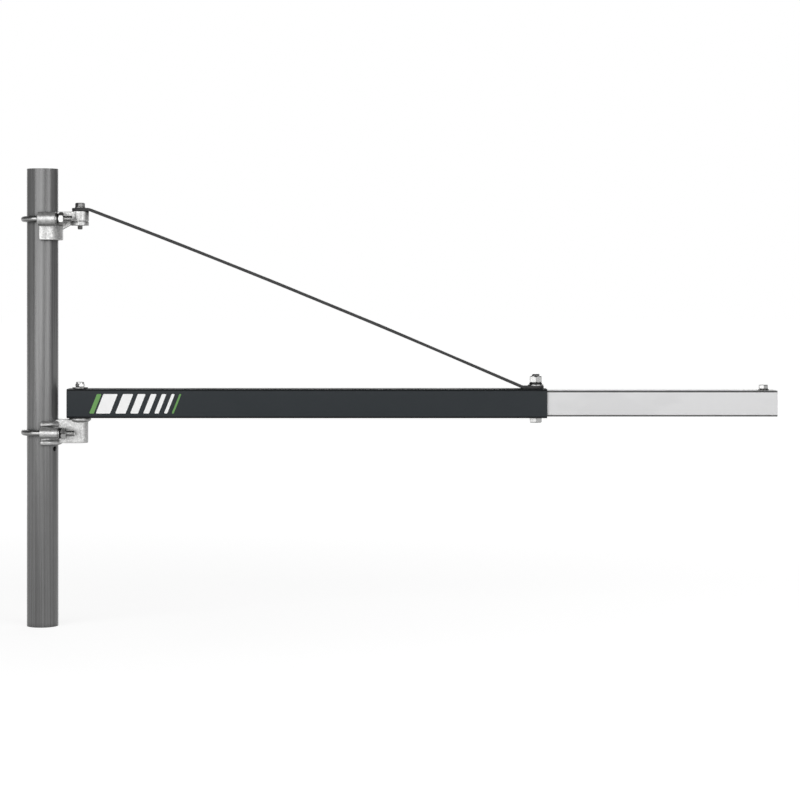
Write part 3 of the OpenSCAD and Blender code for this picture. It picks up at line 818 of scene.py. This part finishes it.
# for each key: the setting with its colour, the material's name, its maker and what else the maker is given
FINISHES = {
    "pole": ("pole_colour", "Pole galvanised steel", pole_steel, {}),
    "casting": ("casting_colour", "Cast zinc", cast_zinc, {}),
    "zinc": ("zinc_colour", "Zinc plate", zinc_plate, {}),
    # the U-bolts get strong painted shade on their undersides and a painted highlight on their threads
    "u_bolt": ("u_bolt_colour", "U-bolt zinc", zinc_plate,
               {"roughness": 0.22, "crevice_shade": 0.3, "under": 0.9, "thread_light_from": 30 * MM}),
    "dull_zinc": ("u_bolt_colour", "Dull zinc", zinc_plate, {"roughness": 0.22, "crevice_shade": 0.3}),
    "black": ("black_colour", "Blackened steel", plain_black, {}),
    "arm": ("arm_colour", "Anthracite powder coat", powder_coat, {"edges": (ARM_LOW, ARM_HIGH, 4 * MM)}),
    "brace": ("brace_colour", "Black powder coat", powder_coat, {}),
    "extension": ("extension_colour", "Light grey satin", satin_grey,
                  {"edges": (EXT_LOW, EXT_HIGH, 3.5 * MM)}),
    "stripe_light": ("stripe_light", "Light stripe", vinyl, {}),
    "stripe_green": ("stripe_green", "Green stripe", vinyl, {}),
}
MATERIALS = {}


def finish(key):
    """The crane's material of that key, made the first time it is asked for."""
    if key not in MATERIALS:
        setting, name, maker, details = FINISHES[key]
        MATERIALS[key] = maker(name, (*getattr(bpy.context.scene.jib_finish, setting), 1), **details)
    return MATERIALS[key]


def dress(piece, key, body, slot, *nodes):
    """Gives a new piece its material and body, and hides the solids that it stands for; slot is not used."""
    piece.data.materials.clear()
    piece.data.materials.append(finish(key))
    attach(piece, body)
    if nodes:
        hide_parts(*nodes)


def repaint(node, key):
    """Gives a construction solid that stays its material."""
    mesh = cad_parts[node].data
    mesh.materials.clear()
    mesh.materials.append(finish(key))


# ------------ fitted screws, washers and nuts

def fit(node, name, shape, bore, body, axis="Z", turn=0.0):
    """Replaces a washer or nut by a finer one of the same size, turned about its axis by degrees."""
    low, high, foot = span(node)
    # a nut on an upright bolt has its flats across X, and one on a level leg has them across Z
    up, side = (2, 0) if axis == "Z" else (0, 2 if shape is hexagon_nut else 1)
    foot[up] = low[up]
    rings = shape(bore, high[side] - low[side], high[up] - low[up], bpy.context.scene.jib_hardware)
    rings = place(turned(rings, turn), foot, axis)
    if shape is spring_washer:
        dress(skin(name, rings), "black", body, "black_steel", node)
    else:
        dress(skin(name, rings, loop=True), "zinc", body, "zinc_steel", node)


def fit_bolt(node, name, head, shank, thread, pitch, body, heading="-Z", turn=0.0, key="zinc"):
    """Replaces an upright bolt by a threaded one that hangs from its head, or stands on it, heading -Z."""
    low, high, seat = span(node)
    seat[2] = low[2] + head if heading == "-Z" else high[2] - head
    length = high[2] - low[2] - head
    rings = hexagon_bolt(
        high[0] - low[0], head, shank, length, thread, pitch, bpy.context.scene.jib_hardware)
    dress(skin(name, place(turned(rings, turn), seat, heading)), key, body, "zinc_steel", node)


# ------------ operators

class JIB_OT_stage(Operator):
    """Set the floor, backdrop, lamps and camera"""

    bl_idname = "jib.stage"
    bl_label = "Stage"

    def execute(self, context):
        stage = context.scene.jib_stage
        self.make_camera(context, stage)
        self.make_floor()
        self.make_world(context, stage)
        self.make_lamps(stage)
        context.scene.view_settings.view_transform = "Standard"
        return {"FINISHED"}

    def make_camera(self, context, stage):
        """A level camera: its lens is sensor times distance over frame width; its shift lowers the frame."""
        data = configured(bpy.data.cameras.new("Camera"), sensor_width=36.0, clip_end=100.0)
        data.lens = data.sensor_width * stage.distance / stage.frame_width
        data.shift_y = (stage.frame_z - stage.eye_height) / stage.frame_width
        context.scene.camera = configured(
            new_object("Camera", data),
            location=(stage.frame_x, -stage.distance, stage.eye_height), rotation_euler=(math.pi / 2, 0, 0))

    def make_floor(self):
        """A wide pale floor: white where it is seen, less the shadow that the crane leaves on it.

        Its glow rises with the distance from the pole, as the lamps' light falls off. Metal sees less of it
        close to the pole, where the crane and its shadow stand on the floor.
        """
        size = 30.0
        corners = np.array([(-size, -size, 0), (size, -size, 0), (size, size, 0), (-size, size, 0)], float)
        floor = mesh_object("floor", corners, [(0, 1, 2, 3)])
        material, tree, shader, spot = start_material("Floor white", 0.9, metallic=0.0, specular=0.0)
        reach = add_node(tree, "ShaderNodeVectorMath", {0: spot}, operation="LENGTH")["Value"]
        glow = stretch_node(tree, reach, 0.3, 3.0, 0.83, 0.98)
        beyond = stretch_node(tree, reach, 0.1, 3.0, 0.9, 0.95)
        feed(tree, shader, {
            "Base Color": (0.32, 0.32, 0.32, 1),
            "Emission Color": WHITE,
            "Emission Strength": math_node(tree, "MULTIPLY", seen_rays(tree, beyond), glow)})
        floor.data.materials.append(material)

    def make_world(self, context, stage):
        """White where the backdrop is seen, also in metal, and for the rest a soft light that fades overhead.

        The backdrop stands behind the crane: its mask rises with the +Y part of the direction.
        """
        world = bpy.data.worlds.new("Studio")
        context.scene.world = world
        world.use_nodes = True
        tree = world.node_tree
        direction = axes(tree, add_node(tree, "ShaderNodeTexCoord")["Generated"])
        behind = stretch_node(tree, direction["Y"], 0.7, 0.92, 0.0, 1.0)
        soft = stretch_node(tree, direction["Z"], 0.1, 0.7, stage.fill, stage.fill * 0.2)
        feed(tree, tree.nodes["Background"], {
            "Color": WHITE, "Strength": math_node(tree, "MAXIMUM", seen_rays(tree, behind), soft)})

    def make_lamps(self, stage):
        """Two wide soft lamps above and in front, with the camera between them, and one behind.

        A lamp's power is its brightness times pi times its area.
        """
        aim = np.array([stage.frame_x, 0, stage.frame_z])
        lamps = (("Lamp left", -31.0, 15.0, 2.8, 3.1, 2.0, stage.lamp_glow),
                 ("Lamp right", 36.0, 15.0, 2.8, 2.1, 2.0, stage.lamp_glow),
                 ("Lamp back", 180.0, 25.0, 3.2, 3.0, 2.0, stage.back_glow))
        for name, azimuth, elevation, reach, width, height, glow in lamps:
            turn, rise = math.radians(azimuth), math.radians(elevation)
            away = (math.sin(turn) * math.cos(rise), -math.cos(turn) * math.cos(rise), math.sin(rise))
            data = configured(
                bpy.data.lights.new(name, "AREA"), shape="RECTANGLE", size=width, size_y=height,
                energy=glow * math.pi * width * height)
            configured(
                new_object(name, data), location=aim + reach * np.array(away),
                rotation_euler=(math.pi / 2 - rise, 0, turn), visible_camera=False)


class JIB_OT_pole(Operator):
    """Give the scaffold pole its galvanised finish"""

    bl_idname = "jib.pole"
    bl_label = "Pole"

    def execute(self, context):
        piece = bevelled_copy("pole", "scaffold_pole", width=0.4 * MM)
        dress(piece, "pole", "mast", "pole_steel", "pole")
        return {"FINISHED"}


class JIB_OT_castings(Operator):
    """Soften the two clamp brackets into castings"""

    bl_idname = "jib.castings"
    bl_label = "Castings"

    def execute(self, context):
        voxel = context.scene.jib_hardware.cast_voxel
        for level in ("lower", "upper"):
            piece = cast_copy(f"{level}_bracket", f"{level}_casting", voxel)
            dress(piece, "casting", "mast", "casting", f"{level}_bracket")
        return {"FINISHED"}


class JIB_OT_u_bolts(Operator):
    """Bend the two threaded U-bolts"""

    bl_idname = "jib.u_bolts"
    bl_label = "U-bolts"

    def execute(self, context):
        hardware = context.scene.jib_hardware
        for level in ("lower", "upper"):
            low, high, _ = span(f"{level}_u_bolt")
            piece = skin(f"{level}_u_bolt_bar", u_bolt(low, high, hardware))
            dress(piece, "u_bolt", "mast", "u_bolt_steel", f"{level}_u_bolt")
        return {"FINISHED"}


class JIB_OT_clamp_hardware(Operator):
    """Put a washer, spring washer and nut on each leg of the U-bolts"""

    bl_idname = "jib.clamp_hardware"
    bl_label = "Clamp nuts"

    def execute(self, context):
        bore = 4.95 * MM
        # each nut stopped at its own turn
        turns = {"lower_front": 3.0, "lower_rear": 8.0, "upper_front": 32.0, "upper_rear": -14.0}
        for stem, turn in turns.items():
            fit(f"{stem}_washer", f"{stem}_flat_washer", flat_washer, bore, "mast", "X")
            fit(f"{stem}_spring_washer", f"{stem}_split_washer", spring_washer, bore, "mast", "X")
            fit(f"{stem}_nut", f"{stem}_hexagon_nut", hexagon_nut, bore, "mast", "X", turn)
        return {"FINISHED"}


class JIB_OT_pivot_hardware(Operator):
    """Put in the two pivot bolts with their washers and nuts"""

    bl_idname = "jib.pivot_hardware"
    bl_label = "Pivot bolts"

    def execute(self, context):
        pitch = context.scene.jib_hardware.pitch_8
        shank = 4 * MM
        # the lower bolt stands on its captive head and the upper one hangs from its head
        for level, head, heading, turn, key in (("lower", 5.1 * MM, "-Z", 0.0, "zinc"),
                                                ("upper", 6.2 * MM, "Z", -18.0, "dull_zinc")):
            fit_bolt(f"{level}_pivot_bolt", f"{level}_pivot_screw", head, shank, 24 * MM, pitch,
                     "mast", heading, turn, key)
            fit(f"{level}_pivot_washer", f"{level}_pivot_flat_washer", flat_washer, shank + 0.2 * MM, "mast")
        bore = shank + 0.05 * MM
        fit("lower_pivot_nut", "lower_pivot_lock_nut", collar_nut, bore, "mast", turn=-6.0)
        fit("upper_pivot_nut", "upper_pivot_hexagon_nut", hexagon_nut, bore, "mast")
        return {"FINISHED"}


class JIB_OT_tubes(Operator):
    """Give the outer tube and the extension tube their paint"""

    bl_idname = "jib.tubes"
    bl_label = "Tubes"

    def execute(self, context):
        for tube, key, slot in (("outer_tube", "arm", "anthracite_paint"),
                                ("extension_tube", "extension", "extension_paint")):
            dress(bevelled_copy(tube, f"painted_{tube}", width=0.35 * MM), key, "jib", slot, tube)
        return {"FINISHED"}


class JIB_OT_brace(Operator):
    """Round the edges of the brace bar and paint it"""

    bl_idname = "jib.brace"
    bl_label = "Brace"

    def execute(self, context):
        piece = bevelled_copy("brace", "brace_bar", width=0.8 * MM)
        dress(piece, "brace", "jib", "black_paint", "brace")
        return {"FINISHED"}


class JIB_OT_lock_hardware(Operator):
    """Put in the lock bolt and the tip bolt with their washers and nuts"""

    bl_idname = "jib.lock_hardware"
    bl_label = "Lock and tip bolts"

    def execute(self, context):
        hardware = context.scene.jib_hardware
        shank = 6 * MM
        clear = shank + 0.2 * MM
        fit_bolt("lock_bolt", "lock_screw", 7.7 * MM, shank, 32 * MM, hardware.pitch_12, "jib")
        fit("lock_washer", "lock_flat_washer", flat_washer, clear, "jib")
        fit("lock_spring_washer", "lock_split_washer", spring_washer, clear, "jib")
        fit("lock_nut", "lock_hexagon_nut", hexagon_nut, shank + 0.02 * MM, "jib")
        self.tip_bolt(hardware)
        repaint("tip_nut", "zinc")
        return {"FINISHED"}

    def tip_bolt(self, hardware):
        """A hexagon bolt with a flange: the head's outline runs out to a thin round collar."""
        low, high, seat = span("tip_bolt")
        seat[2] = EXT_HIGH[2]
        head = high[2] - seat[2]
        shank, across, collar = 4 * MM, 13 * MM, 2.6 * MM
        flange = (high[0] - low[0]) / 2
        past, flat, rise = chamfered(across, face=0.46)
        upper = rounded([(AXIS_RADIUS, head), (flat, head), (past, head - rise), (past, collar)],
                        hardware.edge_round)
        lower = rounded([
            (across / 2, collar), (flange - 0.6 * MM, 1.5 * MM), (flange, 0.9 * MM), (flange, 0),
            (shank, 0), (shank, low[2] - seat[2])], hardware.edge_round)
        rings = np.concatenate([
            lathe(upper, hardware.round_steps, across), lathe(lower, hardware.round_steps)])
        dress(skin("tip_screw", place(rings, seat)), "zinc", "jib", "zinc_steel", "tip_bolt")


class JIB_OT_stripes(Operator):
    """Put plain slanted stripes on the outer tube's front"""

    bl_idname = "jib.stripes"
    bl_label = "Stripes"

    def execute(self, context):
        height, slant, corner, taper = 30 * MM, 12 * MM, 1.2 * MM, 0.999
        start = ARM_LOW[0] + 35 * MM
        depths = ARM_LOW[1] + 0.02 * MM, ARM_LOW[1] - 0.12 * MM
        low, high = ARM_MID[2] - height / 2, ARM_MID[2] + height / 2
        # how far each stripe is from the start, and its width, in millimetres: it is a slanted oblong with
        # rounded corners, from just inside the tube's face out to the film's
        bars = ((0, 7), (10, 22), (40, 16), (63, 12), (83, 9), (100, 7), (115, 5), (127, 3))
        for label, (offset, width) in zip("abcdefgh", bars):
            left = start + offset * MM
            right = left + width * MM
            outline = np.array([(left, low), (right, low), (right + slant, high), (left + slant, high)])
            outline = rounded(outline, corner, closed=True)
            inner = outline.mean(axis=0) + (outline - outline.mean(axis=0)) * taper
            rings = np.stack([
                np.stack([line[:, 0], np.full(len(line), depth), line[:, 1]], -1)
                for line, depth in zip((outline, inner), depths)])
            key = "stripe_green" if label in "ah" else "stripe_light"
            dress(skin(f"stripe_{label}", rings), key, "jib", "anthracite_paint")
        return {"FINISHED"}


class JIB_PT_panel(Panel):
    """The crane's settings and the operators that make it"""

    bl_label = "Jib Crane"
    bl_idname = "JIB_PT_panel"
    bl_space_type = "VIEW_3D"
    bl_region_type = "UI"
    bl_category = "Jib Crane"

    def draw(self, context):
        scene = context.scene
        for group in (scene.jib_finish, scene.jib_hardware, scene.jib_stage):
            box = self.layout.box()
            for name in group.__annotations__:
                box.prop(group, name)
        for operator in OPERATORS:
            self.layout.operator(operator.bl_idname)


SETTINGS = (JibFinish, JibHardware, JibStage)
OPERATORS = (
    JIB_OT_stage, JIB_OT_pole, JIB_OT_castings, JIB_OT_u_bolts, JIB_OT_clamp_hardware,
    JIB_OT_pivot_hardware, JIB_OT_tubes, JIB_OT_brace, JIB_OT_lock_hardware, JIB_OT_stripes,
)


def register():
    """Registers the settings, the operators and the panel."""
    for item in (*SETTINGS, *OPERATORS, JIB_PT_panel):
        bpy.utils.register_class(item)
    bpy.types.Scene.jib_finish = PointerProperty(type=JibFinish)
    bpy.types.Scene.jib_hardware = PointerProperty(type=JibHardware)
    bpy.types.Scene.jib_stage = PointerProperty(type=JibStage)


def unregister():
    """Removes what register added."""
    for name in ("jib_finish", "jib_hardware", "jib_stage"):
        delattr(bpy.types.Scene, name)
    for item in reversed((*SETTINGS, *OPERATORS, JIB_PT_panel)):
        bpy.utils.unregister_class(item)


def main():
    register()
    for operator in OPERATORS:
        getattr(bpy.ops.jib, operator.bl_idname.split(".")[1])()


if __name__ == "__main__":
    main()
